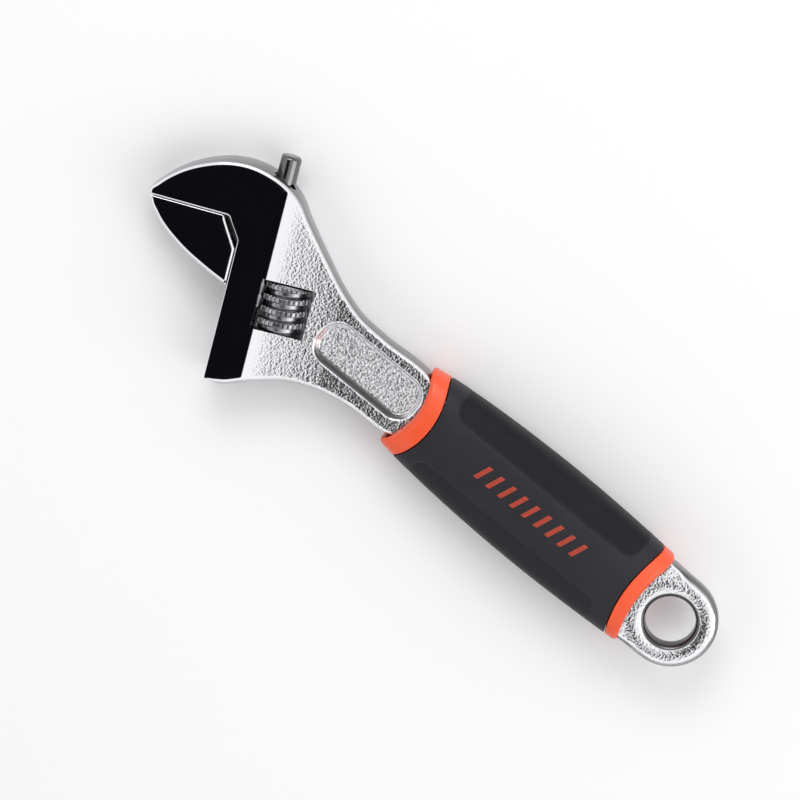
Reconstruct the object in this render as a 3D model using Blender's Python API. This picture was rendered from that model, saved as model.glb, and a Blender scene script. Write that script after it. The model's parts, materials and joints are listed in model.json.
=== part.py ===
"""Adjustable wrench: a forged body with a fixed jaw, a sliding jaw on a round toothed rail, the
thumb wheel that drives it, its pin and spring, and a two-part grip. Metres, +Z up, handle along X."""

import math

import bmesh
import bpy
from mathutils import Matrix, Vector

MM = 0.001

# Layout: the handle's axis is X, with the hanging hole's centre at x = 0 until the parts are centred.
JAW_ANGLE = math.radians(24.5)
THROAT_X = -165.8 * MM
THROAT_Y = 11.9 * MM
GAP = 0.3 * MM

# Head, in slide coordinates: p runs into the head from its front edge, q runs the way the jaw opens.
HEAD_HALF = 6.5 * MM
HEAD_BEVEL = 0.7 * MM
FRONT_P = 1.0 * MM
JAW_TIP_P = -26.3 * MM
CHEEK_P = 11.3 * MM
SLOPE_END_P = 33.0 * MM
HEEL_Q = 47.1 * MM

# Neck, tang and ring.
NECK_HALF = 4.25 * MM
TANG_WIDTH = 9.0 * MM
RECESS_DEPTH = 1.8 * MM
RECESS_X = (-128.5 * MM, -93.4 * MM)
RECESS_Y = 0.9 * MM
RECESS_WIDTH = 6.9 * MM
RECESS_CORNER = 6.0 * MM
RING_RADIUS = 13.6 * MM
RING_HALF = 3.5 * MM
RING_CHAMFER = 0.6 * MM
SHOULDER_X = -11.5 * MM
HOLE_RADIUS = 7.2 * MM

# Movable jaw and its rail.
JAW_HALF = 5.8 * MM
JAW_BEVEL = 0.9 * MM
WEB_HALF = 1.8 * MM
WEB_TOP_Q = 9.2 * MM
JAW_FOOT_Q = 19.8 * MM
RAIL_P = 9.2 * MM
RAIL_RADIUS = 3.1 * MM
RAIL_TOP_Q = -19.9 * MM
RAIL_FOOT_Q = 24.5 * MM
RAIL_CHAMFER = 0.7 * MM
RACK_TOP_Q = -13.2 * MM

# Thumb wheel (worm), its window, pin and spring.
WORM_P = 17.8 * MM
WORM_Q = 22.0 * MM
WORM_LENGTH = 13.6 * MM
WORM_RADIUS = 7.0 * MM
WORM_ROOT = 5.2 * MM
WORM_BORE = 1.8 * MM
PITCH = 3.5 * MM
THREAD_CREST = 0.34
THREAD_ROOT = 0.30
THREAD_CLEARANCE = 0.25 * MM
WINDOW_SLACK = 0.5 * MM
PIN_RADIUS = 1.5 * MM
PIN_TOP_Q = 8.0 * MM
PIN_FOOT_Q = 42.7 * MM
PIN_SLOT = 0.8 * MM
SPRING_TOP_Q = 4.7 * MM
SPRING_FOOT_Q = 7.4 * MM
SPRING_RADIUS = 1.2 * MM
SPRING_WIRE = 0.22 * MM
SPRING_TURNS = 3.5

# Grip: stations of x, half width and half thickness, then the arcs (centre x, y, radius) of its edges.
GRIP_STATIONS = (
    (-99.0, 12.6, 8.0),
    (-94.0, 13.4, 8.7),
    (-88.0, 14.2, 9.4),
    (-78.0, 15.0, 10.0),
    (-66.0, 15.6, 10.4),
    (-52.0, 16.0, 10.6),
    (-40.0, 16.0, 10.6),
    (-28.0, 15.7, 10.2),
    (-18.0, 15.3, 9.4),
    (-10.0, 14.9, 8.9),
    (-4.0, 14.5, 8.5),
)
GRIP_POWER = 2.6
GRIP_SIDES = 40
COVER_WALL = 2.2 * MM
FRONT_EDGE = (-113.2 * MM, -0.8 * MM, 20.6 * MM)
FRONT_SEAM = (-113.3 * MM, -0.8 * MM, 25.9 * MM)
REAR_SEAM = (20.6 * MM, 3.4 * MM, 37.2 * MM)
REAR_EDGE = (25.9 * MM, 3.0 * MM, 38.0 * MM)

parts = bpy.data.collections.new("adjustable_wrench")
cutters = bpy.data.collections.new("cutters")


def slide_point(p, q, z=0.0):
    """A point given in slide coordinates, as a vector in the handle's frame."""
    c = math.cos(JAW_ANGLE)
    s = math.sin(JAW_ANGLE)
    return Vector((THROAT_X + p * c + q * s, THROAT_Y + p * s - q * c, z))


def slide_matrix(p, q):
    """A frame at (p, q) whose Z runs along the slide, whose X runs into the head and whose Y is -Z."""
    across = Vector((math.cos(JAW_ANGLE), math.sin(JAW_ANGLE), 0.0))
    along = Vector((math.sin(JAW_ANGLE), -math.cos(JAW_ANGLE), 0.0))
    frame = Matrix((across, along.cross(across), along)).transposed().to_4x4()
    return Matrix.Translation(slide_point(p, q)) @ frame


def material(name, colour, roughness, metallic):
    mat = bpy.data.materials.new(name)
    mat.use_nodes = True
    shader = mat.node_tree.nodes["Principled BSDF"]
    shader.inputs["Base Color"].default_value = (*colour, 1.0)
    shader.inputs["Roughness"].default_value = roughness
    shader.inputs["Metallic"].default_value = metallic
    return mat


def add_object(name, mesh, matrix=None, collection=cutters):
    obj = bpy.data.objects.new(name, mesh)
    collection.objects.link(obj)
    if matrix is not None:
        obj.matrix_world = matrix
    if collection is cutters:
        obj.hide_render = True
        obj.display_type = "WIRE"
    return obj


def mesh_from(bm, name):
    bmesh.ops.recalc_face_normals(bm, faces=bm.faces)
    mesh = bpy.data.meshes.new(name)
    bm.to_mesh(mesh)
    bm.free()
    return mesh


def cylinder(name, radius, low, high, matrix, sides=48, chamfer=0.0, collection=cutters):
    """A cylinder along the matrix's Z from low to high, with both ends chamfered if asked."""
    bm = bmesh.new()
    length = high - low
    place = Matrix.Translation((0.0, 0.0, (low + high) / 2))
    bmesh.ops.create_cone(
        bm, cap_ends=True, segments=sides, radius1=radius, radius2=radius, depth=length, matrix=place
    )
    if chamfer:
        rims = [e for e in bm.edges if abs(abs(e.verts[0].co.z - (low + high) / 2) - length / 2) < 1e-6
                and abs(e.verts[0].co.z - e.verts[1].co.z) < 1e-6]
        bmesh.ops.bevel(bm, geom=rims, offset=chamfer, segments=1, affect="EDGES")
    return add_object(name, mesh_from(bm, name), matrix, collection)


def block(name, low, high, matrix=None):
    """A box between two corners, in the given frame."""
    bm = bmesh.new()
    size = Vector(high) - Vector(low)
    middle = (Vector(high) + Vector(low)) / 2
    bmesh.ops.create_cube(bm, size=1.0, matrix=Matrix.Translation(middle) @ Matrix.Diagonal((*size, 1.0)))
    return add_object(name, mesh_from(bm, name), matrix or Matrix.Identity(4))


def plate(name, points, half, bevel=0.0, matrix=None, collection=cutters):
    """A flat outline, filled and extruded to a plate. Each point is (x, y, kind), where kind is
    "corner" or "smooth". The curve is turned into a closed mesh, because Booleans need one."""
    curve = bpy.data.curves.new(name, "CURVE")
    curve.dimensions = "2D"
    curve.fill_mode = "BOTH"
    curve.resolution_u = 5
    curve.extrude = half - bevel
    curve.bevel_depth = bevel
    curve.bevel_resolution = 0
    curve.offset = -bevel
    spline = curve.splines.new("BEZIER")
    spline.bezier_points.add(len(points) - 1)
    spline.use_cyclic_u = True
    for spot, (x, y, kind) in zip(spline.bezier_points, points):
        spot.co = (x, y, 0.0)
        handle = "VECTOR" if kind == "corner" else "AUTO"
        spot.handle_left_type = handle
        spot.handle_right_type = handle
    drawn = add_object(name, curve, matrix)
    bpy.context.view_layer.update()
    evaluated = drawn.evaluated_get(bpy.context.evaluated_depsgraph_get())
    mesh = bpy.data.meshes.new_from_object(evaluated)
    bm = bmesh.new()
    bm.from_mesh(mesh)
    bmesh.ops.remove_doubles(bm, verts=bm.verts, dist=0.00001)
    bmesh.ops.recalc_face_normals(bm, faces=bm.faces)
    bm.to_mesh(mesh)
    bm.free()
    world = drawn.matrix_world.copy()
    bpy.data.objects.remove(drawn)
    return add_object(name, mesh, world, collection)


def boolean(obj, tool, operation="DIFFERENCE"):
    cut = obj.modifiers.new(f"{operation.lower()} {tool.name}", "BOOLEAN")
    cut.object = tool
    cut.operation = operation
    cut.solver = "EXACT"


def loft(name, stations, matrix=None, collection=cutters):
    """A closed body through superellipse sections, each (x, half width, half thickness)."""
    bm = bmesh.new()
    rings = []
    for x, width, thick in stations:
        ring = []
        for i in range(GRIP_SIDES):
            angle = 2 * math.pi * i / GRIP_SIDES
            c, s = math.cos(angle), math.sin(angle)
            y = width * math.copysign(abs(c) ** (2 / GRIP_POWER), c)
            z = thick * math.copysign(abs(s) ** (2 / GRIP_POWER), s)
            ring.append(bm.verts.new((x, y, z)))
        rings.append(ring)
    for here, there in zip(rings, rings[1:]):
        for i in range(GRIP_SIDES):
            j = (i + 1) % GRIP_SIDES
            bm.faces.new((here[i], here[j], there[j], there[i]))
    bm.faces.new(rings[0])
    bm.faces.new(rings[-1])
    return add_object(name, mesh_from(bm, name), matrix, collection)


def helix_body(name, low, high, growth, matrix, collection=cutters):
    """A right-hand worm: a rod whose radius follows a trapezoid along the helix, so each column of
    points is the same profile raised by its share of one pitch. Fans close both ends."""
    columns = 24
    slope = (1.0 - THREAD_CREST - THREAD_ROOT) / 2
    wider = growth / PITCH
    crest = WORM_RADIUS + growth
    root = WORM_ROOT + growth
    profile = (
        (-THREAD_CREST / 2 - wider, crest),
        (THREAD_CREST / 2 + wider, crest),
        (THREAD_CREST / 2 + slope + wider, root),
        (1.0 - THREAD_CREST / 2 - slope - wider, root),
    )
    turns = math.ceil((high - low) / PITCH) + 3
    first = math.floor(low / PITCH) - 1
    bm = bmesh.new()
    grid = []
    for i in range(columns):
        angle = 2 * math.pi * i / columns
        column = []
        for turn in range(turns):
            for offset, radius in profile:
                z = (first + turn + offset + i / columns) * PITCH
                column.append(bm.verts.new((radius * math.cos(angle), radius * math.sin(angle), z)))
        grid.append(column)
    step = len(profile)
    rows = turns * step
    grid.append(grid[0][step:])
    for here, there in zip(grid, grid[1:]):
        for j in range(min(len(here), len(there)) - 1):
            bm.faces.new((here[j], there[j], there[j + 1], here[j + 1]))
    low_rim = [grid[i][0] for i in range(columns)] + grid[0][step:0:-1]
    high_rim = [grid[i][rows - 1] for i in range(columns)] + grid[columns - 1][rows - 2:rows - step - 2:-1]
    for rim, z in ((low_rim, (first - 1) * PITCH), (high_rim, (first + turns + 2) * PITCH)):
        hub = bm.verts.new((0.0, 0.0, z))
        for a, b in zip(rim, rim[1:] + rim[:1]):
            bm.faces.new((a, b, hub))
    return add_object(name, mesh_from(bm, name), matrix, collection)


def points_at(kind, *pairs):
    """Outline points from slide coordinates in millimetres."""
    return [(*slide_point(p * MM, q * MM).xy, kind) for p, q in pairs]


def handle_points(kind, *pairs):
    """Outline points from handle coordinates in millimetres."""
    return [(x * MM, y * MM, kind) for x, y in pairs]


def head_and_neck():
    """The forging's outline: jaw face, tip, the crown of the fixed jaw, the upper side of the neck,
    the tang inside the grip, the lower side, the heel and the front edge."""
    tang = TANG_WIDTH / MM
    front = FRONT_P / MM
    tip = JAW_TIP_P / MM
    heel = HEEL_Q / MM
    outline = (
        points_at("corner", (front, 6.0), (-3.0, 0.0), (tip + 0.4, 0.0))
        + points_at("smooth", (tip - 0.1, -0.9), (-24.3, -4.1), (-20.5, -7.9), (-13.0, -12.5),
                    (-6.4, -14.7), (-0.6, -15.2), (5.0, -14.3), (10.5, -12.2), (14.5, -9.2),
                    (18.8, -3.6))
        + handle_points("smooth", (-140.1, 18.0), (-130.0, 13.5), (-121.9, 11.15), (-113.0, 10.65),
                        (-96.5, 10.65))
        + handle_points("corner", (-91.0, tang), (-9.0, tang), (-9.0, -tang), (-91.0, -tang))
        + handle_points("smooth", (-96.5, -10.2), (-109.8, -10.9), (-119.8, -13.2), (-126.5, -16.2),
                        (-134.8, -22.8))
        + points_at("smooth", (4.6, 47.4), (1.8, heel))
        + points_at("corner", (front, heel - 0.7))
    )
    return plate("wrench_body", outline, HEAD_HALF, HEAD_BEVEL, collection=parts)


def slope_cutter(side):
    """The stock above the sloping shoulder, the neck and the tang, on one side of the forging."""
    name = "slope_top" if side > 0 else "slope_bottom"
    far = 0.22
    tall = 0.012
    bm = bmesh.new()
    outline = ((CHEEK_P, HEAD_HALF), (SLOPE_END_P, NECK_HALF), (far, NECK_HALF), (far, tall), (CHEEK_P, tall))
    frame = slide_matrix(0.0, 0.0)
    face = bm.faces.new([bm.verts.new((p, -side * z, -0.13)) for p, z in outline])
    swept = bmesh.ops.extrude_face_region(bm, geom=[face])["geom"]
    moved = [v for v in swept if isinstance(v, bmesh.types.BMVert)]
    bmesh.ops.translate(bm, verts=moved, vec=(0.0, 0.0, 0.26))
    return add_object(name, mesh_from(bm, name), frame)


def rounded_bar(name, x_range, half_width, corner, low, high):
    """A flat pocket cutter with rounded corners between two heights, its middle line at RECESS_Y."""
    x0, x1 = x_range
    steps = 5
    bm = bmesh.new()
    ring = []
    centres = (
        (x1 - corner, half_width - corner, 0.0),
        (x0 + corner, half_width - corner, 0.5 * math.pi),
        (x0 + corner, corner - half_width, math.pi),
        (x1 - corner, corner - half_width, 1.5 * math.pi),
    )
    for cx, cy, start in centres:
        for k in range(steps + 1):
            angle = start + 0.5 * math.pi * k / steps
            x, y = cx + corner * math.cos(angle), cy + corner * math.sin(angle)
            ring.append(bm.verts.new((x, y + RECESS_Y, low)))
    face = bm.faces.new(ring)
    swept = bmesh.ops.extrude_face_region(bm, geom=[face])["geom"]
    moved = [v for v in swept if isinstance(v, bmesh.types.BMVert)]
    bmesh.ops.translate(bm, verts=moved, vec=(0.0, 0.0, high - low))
    return add_object(name, mesh_from(bm, name))


def ring_plate(name, growth):
    """The hanging ring with its straight shoulders, which run into the grip. Growth makes room."""
    radius = RING_RADIUS + growth
    steps = 32
    arc = [math.pi * (k / steps - 0.5) for k in range(steps + 1)]
    outline = [(radius * math.cos(a), radius * math.sin(a)) for a in arc]
    outline += [(SHOULDER_X - growth, radius), (SHOULDER_X - growth, -radius)]
    half = RING_HALF + growth
    bm = bmesh.new()
    face = bm.faces.new([bm.verts.new((x, y, -half)) for x, y in outline])
    swept = bmesh.ops.extrude_face_region(bm, geom=[face])["geom"]
    moved = [v for v in swept if isinstance(v, bmesh.types.BMVert)]
    bmesh.ops.translate(bm, verts=moved, vec=(0.0, 0.0, 2 * half))
    if not growth:
        rims = [e for e in bm.edges if abs(e.verts[0].co.z - e.verts[1].co.z) < half]
        bmesh.ops.bevel(bm, geom=rims, offset=RING_CHAMFER, segments=1, affect="EDGES")
    return add_object(name, mesh_from(bm, name))


def build_body(steel):
    """The forging: plate, shoulders, ring, neck recesses, bore, slot, window and pin hole."""
    body = head_and_neck()
    for side in (1, -1):
        boolean(body, slope_cutter(side))
    boolean(body, ring_plate("ring", 0.0), "UNION")
    floor = NECK_HALF - RECESS_DEPTH
    for name, low, high in (("recess_top", floor, 0.02), ("recess_bottom", -0.02, -floor)):
        boolean(body, rounded_bar(name, RECESS_X, RECESS_WIDTH, RECESS_CORNER, low, high))
    boolean(body, cylinder("hanging_hole", HOLE_RADIUS, -0.02, 0.02, Matrix.Identity(4), 48))
    rail_frame = slide_matrix(RAIL_P, 0.0)
    boolean(body, cylinder("bore", RAIL_RADIUS + GAP, -0.04, 0.07, rail_frame, 32))
    slot_low = (-0.03, -WEB_HALF - GAP, 0.0)
    slot_high = (RAIL_P, WEB_HALF + GAP, 0.07)
    boolean(body, block("web_slot", slot_low, slot_high, slide_matrix(0.0, 0.0)))
    reach = WORM_LENGTH / 2 + WINDOW_SLACK
    wide = WORM_RADIUS + WINDOW_SLACK
    boolean(body, block("window", (-wide, -0.02, -reach), (wide, 0.02, reach), slide_matrix(WORM_P, WORM_Q)))
    pin_frame = slide_matrix(WORM_P, 0.0)
    boolean(body, cylinder("pin_hole", PIN_RADIUS + GAP, SPRING_TOP_Q - GAP, 0.07, pin_frame, 24))
    body.data.materials.append(steel)
    return body


def build_jaw(steel):
    """The sliding jaw: its plate, the web in the slot, the round rail and the rack cut in the rail."""
    origin = slide_matrix(RAIL_P, 0.0)
    shoulder = FRONT_P - GAP
    outline = [
        (-26.0 * MM, GAP, "corner"),
        (-4.6 * MM, GAP, "corner"),
        (shoulder, 8.9 * MM, "corner"),
        (shoulder, JAW_FOOT_Q, "corner"),
        (-6.5 * MM, 16.7 * MM, "smooth"),
        (-15.3 * MM, 12.0 * MM, "smooth"),
        (-23.3 * MM, 5.3 * MM, "smooth"),
        (-25.9 * MM, 1.4 * MM, "smooth"),
    ]
    flipped = [(p, -q, kind) for p, q, kind in outline]
    lay_flat = Matrix.Translation(slide_point(0.0, 0.0)) @ Matrix.Rotation(JAW_ANGLE, 4, "Z")
    jaw = plate("movable_jaw", flipped, JAW_HALF, JAW_BEVEL, lay_flat, parts)
    jaw.data.transform(origin.inverted() @ jaw.matrix_world)
    jaw.matrix_world = origin
    web_low = (-1.5 * MM - RAIL_P, -WEB_HALF, WEB_TOP_Q)
    web_high = (0.0, WEB_HALF, JAW_FOOT_Q - 0.4 * MM)
    boolean(jaw, block("web", web_low, web_high, origin), "UNION")
    rail = cylinder("rail", RAIL_RADIUS, RAIL_TOP_Q, RAIL_FOOT_Q, origin, 32, RAIL_CHAMFER)
    boolean(jaw, rail, "UNION")
    worm_frame = slide_matrix(WORM_P, WORM_Q)
    low = RACK_TOP_Q - WORM_Q
    high = RAIL_FOOT_Q - WORM_Q + PITCH
    rack = helix_body("rack_thread", low, high, THREAD_CLEARANCE, worm_frame)
    limit = cylinder("rack_limit", 2 * WORM_RADIUS, low, high + PITCH, worm_frame)
    boolean(rack, limit, "INTERSECT")
    boolean(jaw, rack)
    jaw.data.materials.append(steel)
    return jaw


def build_worm(steel):
    """The thumb wheel: a thread trimmed to length, chamfered by a turned limit, with a bore."""
    frame = slide_matrix(WORM_P, WORM_Q)
    half = WORM_LENGTH / 2
    worm = helix_body("worm_knurl", -half, half, 0.0, frame, parts)
    boolean(worm, cylinder("worm_limit", WORM_RADIUS + 0.4 * MM, -half, half, frame, 48, 1.0 * MM), "INTERSECT")
    boolean(worm, cylinder("worm_bore", WORM_BORE, -2 * half, 2 * half, frame, 24))
    worm.data.materials.append(steel)
    return worm


def build_pin(steel):
    """The pin that the thumb wheel turns on, slotted at its heel end."""
    frame = slide_matrix(WORM_P, 0.0)
    pin = cylinder("worm_pin", PIN_RADIUS, PIN_TOP_Q, PIN_FOOT_Q, frame, 24, 0.3 * MM, parts)
    slot_low = (-0.01, -PIN_SLOT / 2, PIN_FOOT_Q - PIN_SLOT)
    slot_high = (0.01, PIN_SLOT / 2, PIN_FOOT_Q + PIN_SLOT)
    boolean(pin, block("pin_slot", slot_low, slot_high, frame))
    pin.data.materials.append(steel)
    return pin


def build_spring(steel):
    """The small compression spring in the blind end of the pin's hole."""
    curve = bpy.data.curves.new("worm_spring", "CURVE")
    curve.dimensions = "3D"
    curve.bevel_depth = SPRING_WIRE
    curve.bevel_resolution = 1
    curve.use_fill_caps = True
    count = int(SPRING_TURNS * 14)
    spline = curve.splines.new("POLY")
    spline.points.add(count)
    for k, point in enumerate(spline.points):
        angle = 2 * math.pi * SPRING_TURNS * k / count
        z = SPRING_TOP_Q + SPRING_WIRE + (SPRING_FOOT_Q - SPRING_TOP_Q - SPRING_WIRE) * k / count
        point.co = (SPRING_RADIUS * math.cos(angle), SPRING_RADIUS * math.sin(angle), z, 1.0)
    spring = bpy.data.objects.new("worm_spring", curve)
    parts.objects.link(spring)
    spring.matrix_world = slide_matrix(WORM_P, 0.0)
    curve.materials.append(steel)
    return spring


def grip_stations(shrink=0.0):
    return [(x * MM, w * MM - shrink, t * MM - shrink) for x, w, t in GRIP_STATIONS]


def arc_cutter(name, arc, growth):
    """A tall round cutter whose side is one of the grip's bowed edges."""
    x, y, radius = arc
    return cylinder(name, radius + growth, -0.03, 0.03, Matrix.Translation((x, y, 0.0)), 96)


def build_grip(orange, black):
    """The inner moulding round the tang, and the soft cover that fills the band cut round it."""
    core = loft("grip_core", grip_stations(), collection=parts)
    band = block("cover_band", (-0.13, -0.03, -0.03), (0.03, 0.03, 0.03))
    boolean(band, arc_cutter("band_front", FRONT_SEAM, 0.0))
    boolean(band, arc_cutter("band_rear", REAR_SEAM, 0.0))
    boolean(band, loft("band_inside", grip_stations(COVER_WALL)))
    boolean(core, band)
    boolean(core, arc_cutter("core_front", FRONT_EDGE, 0.0))
    boolean(core, arc_cutter("core_rear", REAR_EDGE, 0.0))
    tang = TANG_WIDTH + GAP
    half = NECK_HALF + GAP
    boolean(core, block("tang_room", (-0.11, -tang, -half), (0.0, tang, half)))
    neck = 11.05 * MM
    boolean(core, block("neck_room", (-0.11, -neck, -half), (-87.0 * MM, neck, half)))
    boolean(core, ring_plate("ring_room", GAP))
    core.data.materials.append(orange)
    cover = loft("grip_cover", grip_stations(), collection=parts)
    boolean(cover, arc_cutter("cover_front", FRONT_SEAM, GAP))
    boolean(cover, arc_cutter("cover_rear", REAR_SEAM, GAP))
    boolean(cover, loft("cover_inside", grip_stations(COVER_WALL - GAP)))
    cover.data.materials.append(black)
    return core, cover


def shade(obj):
    if obj.type == "MESH":
        obj.data.shade_smooth()
        obj.data.set_sharp_from_angle(angle=math.radians(30))


def centre(objects):
    """Hang every part under one empty, and move it so that the bottom centre of their box is the
    origin. Each axis of a moving piece is its object's own Z."""
    bpy.context.view_layer.update()
    graph = bpy.context.evaluated_depsgraph_get()
    corners = []
    for obj in objects:
        solid = obj.evaluated_get(graph)
        mesh = solid.to_mesh()
        corners += [solid.matrix_world @ v.co for v in mesh.vertices]
        solid.to_mesh_clear()
    low = [min(c[i] for c in corners) for i in range(3)]
    high = [max(c[i] for c in corners) for i in range(3)]
    root = bpy.data.objects.new("wrench_origin", None)
    parts.objects.link(root)
    tools = [obj for obj in cutters.objects]
    for obj in [*objects, *tools]:
        obj.parent = root
    root.location = (-(low[0] + high[0]) / 2, -(low[1] + high[1]) / 2, -low[2])
    bpy.context.view_layer.update()
    return root


def main():
    for obj in list(bpy.data.objects):
        bpy.data.objects.remove(obj)
    bpy.context.scene.collection.children.link(parts)
    bpy.context.scene.collection.children.link(cutters)
    chrome = material("chrome", (0.62, 0.62, 0.64), 0.12, 1.0)
    steel = material("blackened_steel", (0.35, 0.35, 0.37), 0.3, 1.0)
    orange = material("orange_moulding", (0.95, 0.11, 0.035), 0.45, 0.0)
    black = material("black_rubber", (0.03, 0.029, 0.035), 0.6, 0.0)
    body = build_body(chrome)
    jaw = build_jaw(chrome)
    worm = build_worm(steel)
    pin = build_pin(steel)
    spring = build_spring(steel)
    core, cover = build_grip(orange, black)
    everything = [body, jaw, worm, pin, spring, core, cover]
    for obj in everything:
        shade(obj)
    root = centre(everything)
    print("origin moved by", [round(v, 6) for v in root.location])
    for name, obj in (("worm axis", worm), ("rail axis", jaw)):
        place = obj.matrix_world
        print(name, [round(v, 6) for v in place.translation], [round(v, 6) for v in place.col[2][:3]])


main()
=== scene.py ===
"""Adjustable wrench: the finished surfaces of a chrome-plated wrench with a two-colour grip.

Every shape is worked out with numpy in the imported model's own frame, in metres. Slide coordinates are
used in the head: p runs into the head from its front edge and q runs the way the jaw opens."""

import json
import math

import bmesh
import bpy
import numpy as np
from bpy.props import FloatProperty, FloatVectorProperty, IntProperty, PointerProperty
from mathutils import Matrix, Vector
from mathutils.geometry import delaunay_2d_cdt


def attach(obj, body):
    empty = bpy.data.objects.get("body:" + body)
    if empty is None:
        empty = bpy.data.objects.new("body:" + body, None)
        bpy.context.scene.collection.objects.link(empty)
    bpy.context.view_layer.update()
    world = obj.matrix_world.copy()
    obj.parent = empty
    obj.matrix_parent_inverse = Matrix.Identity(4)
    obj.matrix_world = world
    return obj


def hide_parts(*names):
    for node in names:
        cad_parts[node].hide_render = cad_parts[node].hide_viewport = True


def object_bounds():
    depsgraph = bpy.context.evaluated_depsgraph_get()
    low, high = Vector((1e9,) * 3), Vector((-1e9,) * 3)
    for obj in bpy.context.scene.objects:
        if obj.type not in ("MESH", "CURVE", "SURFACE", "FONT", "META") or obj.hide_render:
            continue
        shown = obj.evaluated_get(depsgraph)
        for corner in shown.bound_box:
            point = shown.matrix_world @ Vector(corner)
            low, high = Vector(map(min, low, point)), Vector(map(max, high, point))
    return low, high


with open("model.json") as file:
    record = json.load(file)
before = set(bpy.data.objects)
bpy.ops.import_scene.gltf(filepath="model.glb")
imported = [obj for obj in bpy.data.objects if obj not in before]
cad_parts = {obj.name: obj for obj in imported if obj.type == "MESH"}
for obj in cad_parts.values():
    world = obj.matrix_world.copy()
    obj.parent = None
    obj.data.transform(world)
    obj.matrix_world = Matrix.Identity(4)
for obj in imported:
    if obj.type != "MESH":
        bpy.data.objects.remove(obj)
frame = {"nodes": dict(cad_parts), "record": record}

bl_info = {
    "name": "Adjustable Wrench",
    "version": (1, 0, 0),
    "blender": (4, 5, 0),
    "location": "View3D > Sidebar > Wrench",
    "description": "Builds a chrome-plated adjustable wrench with an over-moulded grip",
    "category": "Add Mesh",
}

MM = 0.001
CAD_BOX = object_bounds()
PLAN_LOW, PLAN_HIGH = np.array(CAD_BOX)[:, :2]

JOINTS = {joint["name"]: joint for joint in frame["record"]["behaviour"]["joints"]}
HOLE = np.array(frame["record"]["physics"]["openings"][0]["box_m"]).mean(0)
MID_Z = float(HOLE[2])
WORM_P = 17.8 * MM
WORM_Q = 22.0 * MM
WORM_AT = np.array(JOINTS["worm_turn"]["pos_m"])
SLIDE_V = np.array(JOINTS["jaw_slide"]["axis"])
SLIDE_U = np.array([-SLIDE_V[1], SLIDE_V[0], 0.0])
SLIDE_ORIGIN = WORM_AT - SLIDE_U * WORM_P - SLIDE_V * WORM_Q

# The part's own sizes, in the head's slide coordinates or from the hanging hole along the handle.
HEAD_HALF = 6.5 * MM
NECK_HALF = 4.25 * MM
RING_HALF = 3.5 * MM
RING_RADIUS = 13.6 * MM
RING_CREST = 10.6 * MM
HOLE_RADIUS = 7.2 * MM
SHOULDER_X = -11.5 * MM
CHEEK_P = 11.3 * MM
SLOPE_END_P = 33.0 * MM
JAW_HALF = 5.8 * MM
RAIL_P = 9.2 * MM
RAIL_RADIUS = 3.1 * MM
RAIL_TOP_Q = -19.9 * MM
RAIL_FOOT_Q = 24.5 * MM
RACK_TOP_Q = -13.2 * MM
WEB_TOP_Q = 9.2 * MM
WEB_HALF = 1.8 * MM
WHEEL_RADIUS = 7.0 * MM
WHEEL_ROOT = 5.2 * MM
WHEEL_HALF = 6.8 * MM
WHEEL_CHAMFER = 0.6 * MM
PIN_RADIUS = 1.8 * MM
PITCH = 3.5 * MM
THREAD_CREST = 0.17
THREAD_FOOT = 0.35
THREAD_CLEARANCE = 0.25 * MM
WINDOW_SLACK = 0.5 * MM
GAP = 0.3 * MM
PANEL_X = (-128.5 * MM, -93.4 * MM)
PANEL_Y = (-6.0 * MM, 7.8 * MM)
PANEL_CORNER = 6.0 * MM
PANEL_WALL = 1.9 * MM

# The grip's stations along the handle, and its bowed edges as (centre x, centre y, radius, side).
GRIP_X = np.array([-99.0, -94.0, -88.0, -78.0, -66.0, -52.0, -40.0, -28.0, -18.0, -10.0, -4.0]) * MM
GRIP_HALF_WIDTH = np.array([12.6, 13.4, 14.2, 15.0, 15.6, 16.0, 16.0, 15.7, 15.3, 14.9, 14.5]) * MM
GRIP_HALF_DEPTH = np.array([8.0, 8.7, 9.4, 10.0, 10.4, 10.6, 10.6, 10.2, 9.4, 8.9, 8.5]) * MM
GRIP_POWER = 2.6
FRONT_EDGE = (-113.2 * MM, -0.8 * MM, 20.6 * MM, 1)
FRONT_SEAM = (-113.3 * MM, -0.8 * MM, 25.9 * MM, 1)
REAR_SEAM = (20.6 * MM, 3.4 * MM, 37.2 * MM, -1)
REAR_EDGE = (25.9 * MM, 3.0 * MM, 38.0 * MM, -1)


# ---- settings


class WrenchSizes(bpy.types.PropertyGroup):
    """Fine sizes that a user may change without touching the model's real dimensions."""

    edge_round: FloatProperty(
        name="Edge rounding", description="Radius along the forging's edges",
        default=0.9 * MM, min=0.2 * MM, max=1.5 * MM, unit="LENGTH",
    )
    jaw_round: FloatProperty(
        name="Jaw edge rounding", description="Radius along the sliding jaw's edges",
        default=1.3 * MM, min=0.2 * MM, max=1.5 * MM, unit="LENGTH",
    )
    panel_depth: FloatProperty(
        name="Neck panel depth", description="Depth of the panel in each side of the neck",
        default=1.7 * MM, min=0.3 * MM, max=1.8 * MM, unit="LENGTH",
    )
    knurl_cuts: IntProperty(
        name="Knurl cuts", description="Number of grip notches round the thumb wheel",
        default=30, min=12, max=48,
    )
    knurl_depth: FloatProperty(
        name="Knurl depth", description="Depth of the thumb wheel's notches",
        default=0.42 * MM, min=0.1 * MM, max=0.8 * MM, unit="LENGTH",
    )
    scallop_depth: FloatProperty(
        name="Scallop depth", description="Depth of the finger panels along the grip",
        default=0.7 * MM, min=0.0, max=0.9 * MM, unit="LENGTH",
    )
    print_height: FloatProperty(
        name="Print thickness", description="How far the printed dashes stand above the grip",
        default=0.06 * MM, min=0.02 * MM, max=0.2 * MM, unit="LENGTH",
    )


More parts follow.
